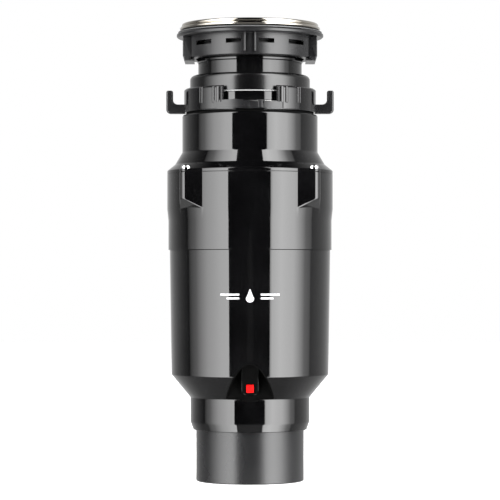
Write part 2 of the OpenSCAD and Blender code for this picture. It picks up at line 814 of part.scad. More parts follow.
module shell_o_ring() {
  color("#151515") translate([0, 0, z_seam + 4.5]) rotate_extrude()
    translate([chamber_in_r - 0.95, 0]) circle(r = 0.8, $fn = 24);
}

// Tube that the drain coupling clamps on, with an O-ring groove in its upper end
module drain_tube() {
  in_r = drain_r - 4.3;
  top = z_collar + socket_depth;
  color("#242426") lathe([
    [in_r, 0.8], [in_r + 0.8, 0], [drain_r - 0.6, 0], [drain_r, 0.6], [drain_r, z_collar],
    [plug_r, z_collar], [plug_r, top - 9.9], [plug_r - 2.4, top - 9.9], [plug_r - 2.4, top - 7.1],
    [plug_r, top - 7.1], [plug_r, top], [in_r + 1.5, top], [in_r, top - 2]
  ]);
}

module outlet_o_ring() {
  color("#151515") translate([0, 0, z_collar + socket_depth - 8.5]) rotate_extrude()
    translate([plug_r - 1.1, 0]) circle(r = 1.2, $fn = 24);
}

// Cable gland in the pad at the back: threaded body with a hexagonal flange
module cord_gland() {
  color("#1d1d1f") difference() {
    union() {
      bar_y(gland_r, 44.5, gland_pad + 1, gland_z);
      translate([0, gland_pad + 0.1, gland_z]) rotate([-90, 0, 0]) cylinder(r = 9, h = 2.9, $fn = 6);
      bar_y(6, gland_pad + 2, gland_pad + 6, gland_z);
    }
    bar_y(gland_bore_r, 40, 70, gland_z);
    bar_y(gland_bore_r + 0.4, 40, gland_pad - 2, gland_z);
  }
}

module gland_nut() {
  color("#232325") translate([0, gland_pad + 3.1, gland_z]) rotate([-90, 0, 0])
    lathe([[6.05, 0], [8.6, 0], [8.6, 2.4], [7.4, 3.7], [6.05, 3.7]]);
}

sink_flange();
flange_tube();
sink_gasket();
nut_washer();
mounting_nut();
mounting_neck();
neck_sleeve();
splash_guard();
lock_ring();
snap_ring();
slip_washer();
top_cover();
hopper_liner();
insulation_sleeve();
chamber_gasket();
chamber_shell();
shell_screws();
grind_ring();
ring_damper();
turntable();
impeller_a();
impeller_b();
impeller_rivets();
turntable_nut();
shaft_seal();
bearing_plate();
upper_bearing();
lower_bearing();
lower_bracket();
motor_shaft();
rotor_core();
rotor_end_rings();
stator_core();
stator_windings();
motor_can();
motor_base();
base_gasket();
connection_board();
overload_protector();
reset_housing();
reset_button();
button_spring();
lower_shell();
shell_o_ring();
drain_tube();
outlet_o_ring();
cord_gland();
gland_nut();
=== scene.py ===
import math

import bmesh
import bpy
from mathutils import Matrix, Vector


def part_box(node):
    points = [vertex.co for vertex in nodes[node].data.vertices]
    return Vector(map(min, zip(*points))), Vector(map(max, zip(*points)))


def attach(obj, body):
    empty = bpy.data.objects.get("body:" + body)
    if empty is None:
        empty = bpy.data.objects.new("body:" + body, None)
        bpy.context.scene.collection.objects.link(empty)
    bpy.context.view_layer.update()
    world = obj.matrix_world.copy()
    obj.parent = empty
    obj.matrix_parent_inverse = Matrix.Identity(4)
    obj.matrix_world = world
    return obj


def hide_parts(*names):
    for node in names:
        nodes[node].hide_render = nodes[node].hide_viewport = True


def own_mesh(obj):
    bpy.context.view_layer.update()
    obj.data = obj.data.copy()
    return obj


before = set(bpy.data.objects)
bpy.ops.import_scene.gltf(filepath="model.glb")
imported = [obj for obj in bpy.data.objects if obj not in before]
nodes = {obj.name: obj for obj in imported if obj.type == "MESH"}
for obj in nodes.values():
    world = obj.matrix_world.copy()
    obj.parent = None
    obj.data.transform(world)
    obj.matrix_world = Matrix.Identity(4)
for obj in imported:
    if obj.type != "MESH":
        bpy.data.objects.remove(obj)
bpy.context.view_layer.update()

MM = 0.001

# ---- Camera ----
# A long lens two metres away, a little above half the height of the disposer, so that the
# top is seen slightly from below and the drain tube slightly from above.
image_width = 500
scale_at_axis = 0.8145 * MM
camera_distance = 1.955
camera_height = 0.167
middle_height = 0.1873

camera_data = bpy.data.cameras.new("camera")
camera_data.sensor_width = 36
camera_data.lens = 36 * camera_distance / (image_width * scale_at_axis)
camera = bpy.data.objects.new("camera", camera_data)
bpy.context.scene.collection.objects.link(camera)
camera.location = (0, -camera_distance, camera_height)
aim = Vector((0, 0, middle_height)) - camera.location
camera.rotation_euler = aim.to_track_quat("-Z", "Y").to_euler()
bpy.context.scene.camera = camera

# ---- Studio ----
# Two tall soft boxes stand at the front left and front right, brightest at their inner edges.
# The room behind the disposer is white, and so is the floor. The room behind the camera is
# dark, which keeps the black plastic black.


def add(tree, kind, inputs=None, **settings):
    """A new node, with its settings, and its inputs as values or as sockets to link."""
    new = tree.nodes.new(kind)
    for key, value in settings.items():
        setattr(new, key, value)
    for key, value in (inputs or {}).items():
        if isinstance(value, bpy.types.NodeSocket):
            tree.links.new(value, new.inputs[key])
        else:
            new.inputs[key].default_value = value
    return new


def soft_box(name, azimuth, half_angle, brightness, profile):
    """A tall panel of light. The profile gives its strength from the inner edge outwards."""
    reach = 1.5
    bottom, top = -1.7, 3.4
    data = bpy.data.lights.new(name, "AREA")
    data.shape = "RECTANGLE"
    data.size = 2 * reach * math.tan(math.radians(half_angle))
    data.size_y = top - bottom
    data.energy = brightness * math.pi * data.size * data.size_y
    data.use_nodes = True
    tree = data.node_tree
    place = add(tree, "ShaderNodeNewGeometry")
    across = add(tree, "ShaderNodeSeparateXYZ", {0: place.outputs["Parametric"]})
    outwards = across.outputs["X"]
    if azimuth < 0:
        outwards = add(tree, "ShaderNodeMath", {0: 1.0, 1: outwards}, operation="SUBTRACT").outputs[0]
    fade = add(tree, "ShaderNodeValToRGB", {0: outwards})
    ramp = fade.color_ramp
    for index, (position, strength) in enumerate(profile):
        if index < 2:
            stop = ramp.elements[index]
            stop.position = position
        else:
            stop = ramp.elements.new(position)
        stop.color = (strength, strength, strength, 1)
    tree.links.new(fade.outputs[0], tree.nodes["Emission"].inputs["Strength"])
    box = bpy.data.objects.new(name, data)
    bpy.context.scene.collection.objects.link(box)
    turn = math.radians(azimuth)
    box.location = (reach * math.sin(turn), -reach * math.cos(turn), (bottom + top) / 2)
    facing = Vector((0, 0, box.location.z)) - box.location
    box.rotation_euler = facing.to_track_quat("-Z", "Y").to_euler()


soft_box("box_left", -63, 33.3, 9.5,
         [(0, 1), (1, 0.03), (0.21, 0.94), (0.48, 0.68), (0.76, 0.2)])
soft_box("box_right", 61.5, 33.5, 11.4,
         [(0, 0.5), (1, 0.05), (0.06, 0.85), (0.26, 1), (0.52, 0.82), (0.81, 0.19)])

world = bpy.data.worlds.new("studio")
bpy.context.scene.world = world
world.use_nodes = True
sky = world.node_tree
direction = add(sky, "ShaderNodeSeparateXYZ", {0: add(sky, "ShaderNodeTexCoord").outputs["Generated"]})
side = add(sky, "ShaderNodeMapRange", {0: direction.outputs["X"], 1: -0.9, 2: 0.9, 3: 0.07, 4: 0.52})
back_wall = add(sky, "ShaderNodeMapRange", {
    0: direction.outputs["Y"], 1: 0.1, 2: 1.0, 3: side.outputs[0], 4: 0.76})
is_behind = add(sky, "ShaderNodeMapRange", {0: direction.outputs["Y"], 1: -0.1, 2: 0.1})
is_low = add(sky, "ShaderNodeMapRange", {0: direction.outputs["Z"], 1: 0.55, 2: 0.85, 3: 1.0, 4: 0.0})
wall_mask = add(sky, "ShaderNodeMath", {0: back_wall.outputs[0], 1: is_behind.outputs[0]},
                operation="MULTIPLY")
wall = add(sky, "ShaderNodeMath", {0: wall_mask.outputs[0], 1: is_low.outputs[0]}, operation="MULTIPLY")
below = add(sky, "ShaderNodeMapRange", {0: direction.outputs["Z"], 1: -0.15, 2: -0.5, 3: 0.0, 4: 0.42})
room = add(sky, "ShaderNodeMath", {0: wall.outputs[0], 1: below.outputs[0]}, operation="MAXIMUM")
seen = add(sky, "ShaderNodeLightPath")
white = add(sky, "ShaderNodeMix", {0: seen.outputs["Is Camera Ray"], 2: room.outputs[0], 3: 1.0})
sky.links.new(white.outputs[0], sky.nodes["Background"].inputs["Strength"])
sky.nodes["Background"].inputs["Color"].default_value = (1, 1, 1, 1)

# The floor glows a little by itself, so it stays white out to the horizon, and it doesn't
# hide the lower part of the soft boxes from the gloss.
bpy.ops.mesh.primitive_plane_add(size=8, location=(0, 0, -0.0004))
floor = bpy.context.object
floor.name = "floor"
floor.visible_glossy = False
floor_paint = bpy.data.materials.new("floor_paint")
floor_paint.use_nodes = True
floor_shader = floor_paint.node_tree.nodes["Principled BSDF"]
floor_shader.inputs["Base Color"].default_value = (0.8, 0.8, 0.8, 1)
floor_shader.inputs["Roughness"].default_value = 0.9
floor_shader.inputs["Emission Color"].default_value = (1, 1, 1, 1)
floor_shader.inputs["Emission Strength"].default_value = 0.8
floor.data.materials.append(floor_paint)

bpy.context.scene.view_settings.view_transform = "Standard"

# ---- Lower shell ----
# The largest casing is one glossy black moulding: a barrel, a cone and the collar that takes
# the drain tube. An arched doorway for the reset button is cut in its front, and a round pad
# for the power cord stands on its back. The chamber shell drops over its upper lip.


def sector(outline, first=0, last=360, steps=144):
    """A ring, or a stretch of one, turned from an outline of radius and height points."""
    bm = bmesh.new()
    turn = math.radians(first)
    corners = [bm.verts.new((r * MM * math.cos(turn), r * MM * math.sin(turn), z * MM))
               for r, z in outline]
    edges = [bm.edges.new(pair) for pair in zip(corners, corners[1:] + corners[:1])]
    whole = last - first >= 360
    bmesh.ops.spin(bm, geom=corners + edges, cent=(0, 0, 0), axis=(0, 0, 1),
                   angle=math.radians(last - first), steps=steps, use_merge=whole)
    if not whole:
        bmesh.ops.holes_fill(bm, edges=bm.edges[:], sides=0)
    bmesh.ops.recalc_face_normals(bm, faces=bm.faces[:])
    return bm


def arc(centre, radius, first, last, steps=8):
    """Points along an arc, for an outline."""
    turns = [math.radians(first + (last - first) * i / steps) for i in range(steps + 1)]
    return [(centre[0] + radius * math.cos(t), centre[1] + radius * math.sin(t)) for t in turns]


def slab(outline, low, high, across="Y"):
    """A flat outline of X and Z points drawn out along Y, or of X and Y points along Z."""
    bm = bmesh.new()
    if across == "Y":
        corners = [bm.verts.new((a * MM, low * MM, b * MM)) for a, b in outline]
        shift = Vector((0, (high - low) * MM, 0))
    else:
        corners = [bm.verts.new((a * MM, b * MM, low * MM)) for a, b in outline]
        shift = Vector((0, 0, (high - low) * MM))
    face = bm.faces.new(corners)
    drawn = bmesh.ops.extrude_face_region(bm, geom=[face], use_keep_orig=True)
    moved = [part for part in drawn["geom"] if isinstance(part, bmesh.types.BMVert)]
    bmesh.ops.translate(bm, verts=moved, vec=shift)
    bmesh.ops.recalc_face_normals(bm, faces=bm.faces[:])
    return bm


QUARTER_TURN = Matrix.Rotation(math.radians(90), 3, "X")


def bar(radius, low, high, centre, axis="Z", steps=48):
    """A round bar between two heights, or between two depths along Y."""
    bm = bmesh.new()
    bmesh.ops.create_cone(bm, cap_ends=True, segments=steps, radius1=radius * MM, radius2=radius * MM,
                          depth=(high - low) * MM)
    middle = (low + high) / 2
    place = (centre[0], centre[1], middle)
    if axis == "Y":
        bmesh.ops.rotate(bm, verts=bm.verts[:], cent=(0, 0, 0), matrix=QUARTER_TURN)
        place = (centre[0], middle, centre[1])
    bmesh.ops.translate(bm, verts=bm.verts[:], vec=Vector(place) * MM)
    return bm


def soften(bm, width, sharper_than=25, segments=3):
    """Round each edge that turns by more than an angle in degrees."""
    limit = math.radians(sharper_than)
    sharp = [edge for edge in bm.edges if edge.is_manifold and edge.calc_face_angle() > limit]
    bmesh.ops.bevel(bm, geom=sharp, offset=width * MM, offset_type="OFFSET", affect="EDGES",
                    segments=segments, profile=0.5, material=-1, clamp_overlap=True)
    return bm


def turned(bm, degrees):
    """The same shape turned about the upright axis."""
    turn = Matrix.Rotation(math.radians(degrees), 3, "Z")
    bmesh.ops.rotate(bm, verts=bm.verts[:], cent=(0, 0, 0), matrix=turn)
    return bm


def gather(*shapes):
    """Several closed shapes as one."""
    whole = bmesh.new()
    for shape in shapes:
        mesh = bpy.data.meshes.new("part")
        shape.to_mesh(mesh)
        shape.free()
        whole.from_mesh(mesh)
        bpy.data.meshes.remove(mesh)
    return whole


def as_object(name, bm):
    """A shape as an object, smooth except at its sharp edges."""
    mesh = bpy.data.meshes.new(name)
    bm.to_mesh(mesh)
    bm.free()
    mesh.shade_smooth()
    mesh.set_sharp_from_angle(angle=math.radians(32))
    item = bpy.data.objects.new(name, mesh)
    bpy.context.scene.collection.objects.link(item)
    return item


def carve(bm, *changes):
    """A shape after others have been welded to it (UNION) or cut out of it (DIFFERENCE)."""
    work = as_object("work", bm)
    for operation, shape in changes:
        tool = as_object("tool", shape)
        cut = work.modifiers.new("cut", "BOOLEAN")
        cut.operation = operation
        cut.solver = "EXACT"
        cut.object = tool
        ready = work.evaluated_get(bpy.context.evaluated_depsgraph_get())
        result = bpy.data.meshes.new_from_object(ready)
        work.modifiers.remove(cut)
        work.data = result
        bpy.data.objects.remove(tool)
    done = bmesh.new()
    done.from_mesh(work.data)
    bpy.data.objects.remove(work)
    return done


def piece(name, bm, material, body, slot, *stands_for):
    """A finished piece: its material, the body it rides on and the nodes it stands for."""
    item = as_object(name, bm)
    item.data.materials.clear()
    item.data.materials.append(material)
    level = item.modifiers.new("level", "WEIGHTED_NORMAL")
    level.keep_sharp = True
    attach(item, body)
    if stands_for:
        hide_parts(*stands_for)
    return item


def dress(material, *names):
    """Give carried-over nodes their material."""
    for name in names:
        nodes[name].material_slots[0].material = material


def new_group(name, ins, outs):
    """An empty shader group, with its input and output nodes."""
    tree = bpy.data.node_groups.new(name, "ShaderNodeTree")
    for label, value in ins.items():
        kind = "NodeSocketColor" if isinstance(value, tuple) else "NodeSocketFloat"
        tree.interface.new_socket(label, in_out="INPUT", socket_type=kind).default_value = value
    for label, kind in outs.items():
        tree.interface.new_socket(label, in_out="OUTPUT", socket_type=kind)
    return tree, tree.nodes.new("NodeGroupInput"), tree.nodes.new("NodeGroupOutput")


SURFACE = {"Color": "NodeSocketColor", "Roughness": "NodeSocketFloat", "Height": "NodeSocketFloat"}


def wire(tree, pairs):
    """Link pairs of sockets."""
    for source, target in pairs:
        tree.links.new(source, target)


def finish(name, group, values, relief, **shader_values):
    """A material whose colour, roughness and relief come from a shared group."""
    made = bpy.data.materials.new(name)
    made.use_nodes = True
    tree = made.node_tree
    shader = tree.nodes["Principled BSDF"]
    skin = tree.nodes.new("ShaderNodeGroup")
    skin.node_tree = group
    for label, value in values.items():
        skin.inputs[label].default_value = value
    bump = add(tree, "ShaderNodeBump", {"Height": skin.outputs["Height"]})
    bump.inputs["Distance"].default_value = relief * MM
    wire(tree, [(skin.outputs["Color"], shader.inputs["Base Color"]),
                (skin.outputs["Roughness"], shader.inputs["Roughness"]),
                (bump.outputs["Normal"], shader.inputs["Normal"])])
    for label, value in shader_values.items():
        shader.inputs[label.replace("_", " ")].default_value = value
    return made


# Moulded plastic: a fine grain, faint cloudy haze where it has been handled, a few specks of
# dust and edges rubbed a little lighter.
moulded, skin_in, skin_out = new_group(
    "moulded_skin",
    {"Color": (0, 0, 0, 1), "Haze": (0.01, 0.01, 0.01, 1), "Roughness": 0.1, "Unevenness": 0.03,
     "Grain per m": 2500.0, "Dust": 0.02, "Rubbed edges": 0.02},
    SURFACE)
where = add(moulded, "ShaderNodeTexCoord").outputs["Object"]
grain = add(moulded, "ShaderNodeTexNoise", {
    "Vector": where, "Scale": skin_in.outputs["Grain per m"], "Detail": 2.0})
cloud = add(moulded, "ShaderNodeTexNoise", {"Vector": where, "Scale": 22.0, "Detail": 3.0})
haze = add(moulded, "ShaderNodeMapRange", {0: cloud.outputs[0], 1: 0.42, 2: 0.72})
speck = add(moulded, "ShaderNodeTexVoronoi", {"Vector": where, "Scale": 420.0})
is_speck = add(moulded, "ShaderNodeMapRange", {0: speck.outputs["Distance"], 1: 0.1, 2: 0.04})
dust = add(moulded, "ShaderNodeMath", {0: is_speck.outputs[0], 1: skin_in.outputs["Dust"]},
           operation="MULTIPLY")
moulded_edge = add(moulded, "ShaderNodeNewGeometry").outputs["Pointiness"]
is_edge = add(moulded, "ShaderNodeMapRange", {0: moulded_edge, 1: 0.52, 2: 0.62})
rubbing = add(moulded, "ShaderNodeMath", {0: is_edge.outputs[0], 1: skin_in.outputs["Rubbed edges"]},
              operation="MULTIPLY")
light = add(moulded, "ShaderNodeMath", {0: dust.outputs[0], 1: rubbing.outputs[0]}, operation="MAXIMUM")
tint = add(moulded, "ShaderNodeMix", {
    0: haze.outputs[0], 6: skin_in.outputs["Color"], 7: skin_in.outputs["Haze"]}, data_type="RGBA")
pale = add(moulded, "ShaderNodeMix", {
    0: light.outputs[0], 6: tint.outputs[2], 7: (0.35, 0.35, 0.35, 1)}, data_type="RGBA")
uneven = add(moulded, "ShaderNodeMath", {
    0: haze.outputs[0], 1: skin_in.outputs["Unevenness"], 2: skin_in.outputs["Roughness"]},
    operation="MULTIPLY_ADD")
wire(moulded, [(pale.outputs[2], skin_out.inputs["Color"]), (uneven.outputs[0], skin_out.inputs["Roughness"]),
               (grain.outputs[0], skin_out.inputs["Height"])])

gloss_black = finish("gloss_black", moulded, {
    "Color": (0.001, 0.001, 0.0011, 1), "Haze": (0.0022, 0.0022, 0.0024, 1), "Roughness": 0.035,
    "Unevenness": 0.03, "Grain per m": 900.0, "Dust": 0.012, "Rubbed edges": 0.004}, 0.0012)
satin_black = finish("satin_black", moulded, {
    "Color": (0.0045, 0.0045, 0.005, 1), "Haze": (0.007, 0.007, 0.0075, 1), "Roughness": 0.27,
    "Unevenness": 0.05, "Grain per m": 2400.0, "Dust": 0.02, "Rubbed edges": 0.03}, 0.02,
    Specular_IOR_Level=0.42)

seam_z = 187.2
cover_z = 249.0
barrel_foot = (63.8, 86.3)
barrel_top = (65.3, seam_z)
barrel = soften(sector([
    (43.4, 41.5), (46.1, 41.5), (48.4, 48), (48.45, 67.7), barrel_foot, barrel_top, (62.4, seam_z),
    (62.4, 190.6), (60.8, 190.6), (60.8, 192.8), (62.4, 192.8), (62.4, 197), (59.4, 197), (59.4, 183.2),
    (62.2, 178.2), (60.8, 88), (44, 67.5), (42.5, 65.5), (42.5, 63.7), (43.4, 63.7)
]), 0.45, 12)

# The doorway's sides close faster towards the top, and its sill dips in the middle.
door_half = 18.9
door_height = 27.4
door_z = 69.9
door_steps = 14
climb = [1 - (1 - i / door_steps) ** 2 for i in range(door_steps + 1)]
right_side = [(door_half * math.sqrt(1 - t ** 1.25), door_z + door_height * t) for t in climb]
sill = [(-door_half, 68), (-8, 68), (-6, 66.4), (6, 66.4), (8, 68), (door_half, 68)]
left_side = [(-x, z) for x, z in reversed(right_side[:-1])]
doorway = sill + right_side + left_side

gland_z = 77.5
pad_r = 10.5
pad_y = 60
gland_r = 7.05
shell = carve(
    barrel,
    ("UNION", bar(pad_r, 50, pad_y, (0, gland_z), "Y")),
    ("DIFFERENCE", bar(pad_r, pad_y, 80, (0, gland_z), "Y")),
    ("DIFFERENCE", bar(gland_r, 40, 70, (0, gland_z), "Y")),
    ("DIFFERENCE", slab(doorway, -80, -45.2)))
piece("lower_shell_skin", shell, gloss_black, "housing", "gloss_black", "lower_shell")

# ---- Printed mark ----
# A thin generic mark is printed in white on the front of the barrel: a water drop between
# short bars. It carries no letters.
mark_z = 150.0
ink = 0.06
ink_lift = 0.03
barrel_taper = (barrel_top[0] - barrel_foot[0]) / (barrel_top[1] - barrel_foot[1])
mark_white = finish("mark_white", moulded, {
    "Color": (0.5, 0.5, 0.51, 1), "Haze": (0.42, 0.42, 0.43, 1), "Roughness": 0.4, "Unevenness": 0.1,
    "Grain per m": 3000.0, "Dust": 0.0, "Rubbed edges": 0.0}, 0.01)


def printed(bm):
    """Wrap a flat shape round the barrel and give it the thickness of the ink."""
    for corner in bm.verts:
        face_r = barrel_foot[0] + ink_lift + barrel_taper * (corner.co.z / MM - barrel_foot[1])
        corner.co.y = -math.sqrt((face_r * MM) ** 2 - corner.co.x ** 2)
    bmesh.ops.recalc_face_normals(bm, faces=bm.faces[:])
    bmesh.ops.solidify(bm, geom=bm.faces[:], thickness=ink * MM)
    return bm


line_high = 1.5
marks = []
for x, z, long in ((-16, 1.5, 15), (-13.5, -1.5, 10), (16, 1.5, 15), (13.5, -1.5, 10)):
    bm = bmesh.new()
    bmesh.ops.create_grid(bm, x_segments=10, y_segments=1, size=0.5)
    bmesh.ops.rotate(bm, verts=bm.verts[:], cent=(0, 0, 0), matrix=QUARTER_TURN)
    bmesh.ops.scale(bm, verts=bm.verts[:], vec=(long * MM, 1, line_high * MM))
    bmesh.ops.translate(bm, verts=bm.verts[:], vec=(x * MM, 0, (mark_z + z) * MM))
    marks.append(printed(bm))
drop_r = 3.3
drop = bmesh.new()
bmesh.ops.create_circle(drop, cap_ends=True, cap_tris=True, segments=40, radius=drop_r * MM)
bmesh.ops.rotate(drop, verts=drop.verts[:], cent=(0, 0, 0), matrix=QUARTER_TURN)
for corner in drop.verts:
    point = max(0.0, corner.co.z / (drop_r * MM))
    corner.co.x *= 1 - 0.5 * point
    corner.co.z *= 1 + 1.2 * point ** 2
bmesh.ops.translate(drop, verts=drop.verts[:], vec=(0, 0, (mark_z - 1.4) * MM))
marks.append(printed(drop))
piece("printed_mark", gather(*marks), mark_white, "housing", "nylon_white")

# ---- Reset button ----
# A red button stands in a matt black insert behind the doorway. The insert has a raised
# tongue round the button, and the button springs back when it is let go.
# The insert is black plastic, but its colour is set darker still and its reflection almost off. This is
# painted shade, standing in for the shade inside the doorway.
painted_shade_black = finish("painted_shade_black", moulded, {
    "Color": (0.0006, 0.0006, 0.0006, 1), "Haze": (0.001, 0.001, 0.001, 1), "Roughness": 0.6,
    "Unevenness": 0.1, "Grain per m": 2500.0, "Dust": 0.01, "Rubbed edges": 0.0}, 0.02,
    Specular_IOR_Level=0.05)
button_red = finish("button_red", moulded, {
    "Color": (0.72, 0.0, 0.0, 1), "Haze": (0.62, 0.0, 0.0, 1), "Roughness": 0.45, "Unevenness": 0.1,
    "Grain per m": 2500.0, "Dust": 0.0, "Rubbed edges": 0.0}, 0.01, Specular_IOR_Level=0.15)
dress(painted_shade_black, "reset_housing")

button_z = 76.8


def block(half_x, half_z, low, high):
    """A block round the button's middle, between two depths."""
    foot = button_z - half_z
    head = button_z + half_z
    return slab([(-half_x, foot), (half_x, foot), (half_x, head), (-half_x, head)], low, high)


cap = soften(block(2.9, 3.2, -52.2, -44.8), 0.45)
collar = block(4.2, 4.2, -44.81, -43.8)
stem = bar(1.5, -44, -37, (0, button_z), "Y")
button = gather(cap, collar, stem)
piece("reset_button_cap", button, button_red, "reset_button", "red_plastic", "reset_button")

# The bead along the edge of the tongue is polished, so it catches the light as two thin lines.
bead_path = [(-6.3, -57.2, 95), (-6.3, -50.6, 78), (-6.3, -49.4, 75), (-5.4, -49.1, 72.9),
             (-3.6, -49.1, 71.9)]
bead = bpy.data.curves.new("tongue_bead", "CURVE")
bead.dimensions = "3D"
bead.bevel_depth = 0.3 * MM
bead.bevel_resolution = 3
bead.use_fill_caps = True
for side in (1, -1):
    line = bead.splines.new("POLY")
    line.points.add(len(bead_path) - 1)
    for point, (x, y, z) in zip(line.points, bead_path):
        point.co = (side * x * MM, y * MM, z * MM, 1)
rope = bpy.data.objects.new("tongue_bead", bead)
bpy.context.scene.collection.objects.link(rope)
beads = bmesh.new()
beads.from_mesh(rope.to_mesh())
bmesh.ops.remove_doubles(beads, verts=beads.verts[:], dist=0.01 * MM)
bmesh.ops.recalc_face_normals(beads, faces=beads.faces[:])
bpy.data.objects.remove(rope)
bead_gloss = finish("bead_gloss", moulded, {
    "Color": (0.02, 0.022, 0.022, 1), "Haze": (0.03, 0.032, 0.032, 1), "Roughness": 0.2,
    "Unevenness": 0.05, "Grain per m": 1500.0, "Dust": 0.0, "Rubbed edges": 0.0}, 0.001)
piece("tongue_bead", beads, bead_gloss, "housing", "deep_black")

# ---- Drain tube and seals ----
# The drain tube is a satin moulding that plugs into the collar, and its O-ring seals it there.
# A second O-ring seals the seam of the two shells. Both are black rubber.
rubber_black = finish("rubber_black", moulded, {
    "Color": (0.012, 0.012, 0.012, 1), "Haze": (0.03, 0.03, 0.029, 1), "Roughness": 0.62,
    "Unevenness": 0.15, "Grain per m": 1800.0, "Dust": 0.08, "Rubbed edges": 0.05}, 0.06)
dress(satin_black, "drain_tube")
dress(rubber_black, "outlet_o_ring", "shell_o_ring")

# ---- Cord gland ----
# A grey nylon gland screws into the pad at the back, and its domed nut grips the cord. The
# cord itself isn't part of this model.
nylon_grey = finish("nylon_grey", moulded, {
    "Color": (0.035, 0.035, 0.037, 1), "Haze": (0.06, 0.06, 0.06, 1), "Roughness": 0.42,
    "Unevenness": 0.12, "Grain per m": 3000.0, "Dust": 0.04, "Rubbed edges": 0.1}, 0.02)
dress(nylon_grey, "cord_gland", "gland_nut")

# ---- Motor ----
# A sealed induction motor fills the lower shell. A drawn steel can holds stacked laminations
# with copper windings, and the shaft runs in two bearings between a cast plate and a bracket.

# Metal: fine lines that run round the piece, blotches of tarnish, a sandy grain and edges
# polished by handling.
metal, metal_in, metal_out = new_group(
    "metal_skin",
    {"Color": (0.5, 0.5, 0.5, 1), "Tarnish": (0.4, 0.4, 0.4, 1), "Roughness": 0.25, "Unevenness": 0.15,
     "Lines per m": 3000.0, "Grain per m": 1500.0, "Lines over grain": 0.5, "Blotch per m": 60.0},
    SURFACE)
spot = add(metal, "ShaderNodeTexCoord").outputs["Object"]
height_only = add(metal, "ShaderNodeMapping", {"Vector": spot, "Scale": (0.01, 0.01, 1.0)})
lines = add(metal, "ShaderNodeTexNoise", {
    "Vector": height_only.outputs[0], "Scale": metal_in.outputs["Lines per m"], "Detail": 2.0})
sand = add(metal, "ShaderNodeTexNoise", {
    "Vector": spot, "Scale": metal_in.outputs["Grain per m"], "Detail": 3.0})
relief = add(metal, "ShaderNodeMix", {
    0: metal_in.outputs["Lines over grain"], 2: sand.outputs[0], 3: lines.outputs[0]})
blotch = add(metal, "ShaderNodeTexNoise", {
    "Vector": spot, "Scale": metal_in.outputs["Blotch per m"], "Detail": 4.0})
worn = add(metal, "ShaderNodeMapRange", {0: blotch.outputs[0], 1: 0.4, 2: 0.68})
metal_edge = add(metal, "ShaderNodeNewGeometry").outputs["Pointiness"]
polish = add(metal, "ShaderNodeMapRange", {0: metal_edge, 1: 0.52, 2: 0.6, 3: 0.0, 4: 0.35})
hue = add(metal, "ShaderNodeMix", {
    0: worn.outputs[0], 6: metal_in.outputs["Color"], 7: metal_in.outputs["Tarnish"]}, data_type="RGBA")
shiny = add(metal, "ShaderNodeMix", {
    0: polish.outputs[0], 6: hue.outputs[2], 7: (0.85, 0.84, 0.82, 1)}, data_type="RGBA")
texture = add(metal, "ShaderNodeMath", {0: relief.outputs[0], 1: worn.outputs[0]}, operation="ADD")
rough = add(metal, "ShaderNodeMath", {
    0: texture.outputs[0], 1: metal_in.outputs["Unevenness"], 2: metal_in.outputs["Roughness"]},
    operation="MULTIPLY_ADD")
wire(metal, [(shiny.outputs[2], metal_out.inputs["Color"]), (rough.outputs[0], metal_out.inputs["Roughness"]),
             (relief.outputs[0], metal_out.inputs["Height"])])

can_steel = finish("can_steel", metal, {
    "Color": (0.46, 0.47, 0.48, 1), "Tarnish": (0.3, 0.31, 0.33, 1), "Roughness": 0.24, "Unevenness": 0.2,
    "Lines per m": 1600.0, "Grain per m": 500.0, "Lines over grain": 0.3, "Blotch per m": 130.0}, 0.02,
    Metallic=1.0)
core_steel = finish("core_steel", metal, {
    "Color": (0.28, 0.29, 0.31, 1), "Tarnish": (0.16, 0.15, 0.14, 1), "Roughness": 0.4, "Unevenness": 0.2,
    "Lines per m": 2000.0, "Grain per m": 800.0, "Lines over grain": 1.0, "Blotch per m": 50.0}, 0.15,
    Metallic=1.0)
cast_aluminium = finish("cast_aluminium", metal, {
    "Color": (0.56, 0.57, 0.58, 1), "Tarnish": (0.38, 0.38, 0.38, 1), "Roughness": 0.42, "Unevenness": 0.15,
    "Lines per m": 800.0, "Grain per m": 1100.0, "Lines over grain": 0.0, "Blotch per m": 45.0}, 0.12,
    Metallic=1.0)
copper_wire = finish("copper_wire", metal, {
    "Color": (0.62, 0.22, 0.075, 1), "Tarnish": (0.36, 0.1, 0.035, 1), "Roughness": 0.22, "Unevenness": 0.15,
    "Lines per m": 1400.0, "Grain per m": 700.0, "Lines over grain": 0.85, "Blotch per m": 90.0}, 0.3,
    Metallic=1.0, Coat_Weight=0.6)
bright_steel = finish("bright_steel", metal, {
    "Color": (0.72, 0.72, 0.73, 1), "Tarnish": (0.6, 0.59, 0.57, 1), "Roughness": 0.09, "Unevenness": 0.08,
    "Lines per m": 5000.0, "Grain per m": 2000.0, "Lines over grain": 0.8, "Blotch per m": 120.0}, 0.003,
    Metallic=1.0)
board_green = finish("board_green", moulded, {
    "Color": (0.012, 0.09, 0.03, 1), "Haze": (0.03, 0.14, 0.05, 1), "Roughness": 0.3, "Unevenness": 0.15,
    "Grain per m": 1400.0, "Dust": 0.05, "Rubbed edges": 0.2}, 0.03)
dress(can_steel, "motor_can", "lower_bracket")
dress(core_steel, "stator_core", "rotor_core")
dress(cast_aluminium, "bearing_plate", "rotor_end_rings")
dress(copper_wire, "stator_windings")
dress(bright_steel, "motor_shaft", "upper_bearing", "lower_bearing")
dress(board_green, "connection_board")
dress(satin_black, "motor_base", "overload_protector")
dress(rubber_black, "base_gasket", "shaft_seal")
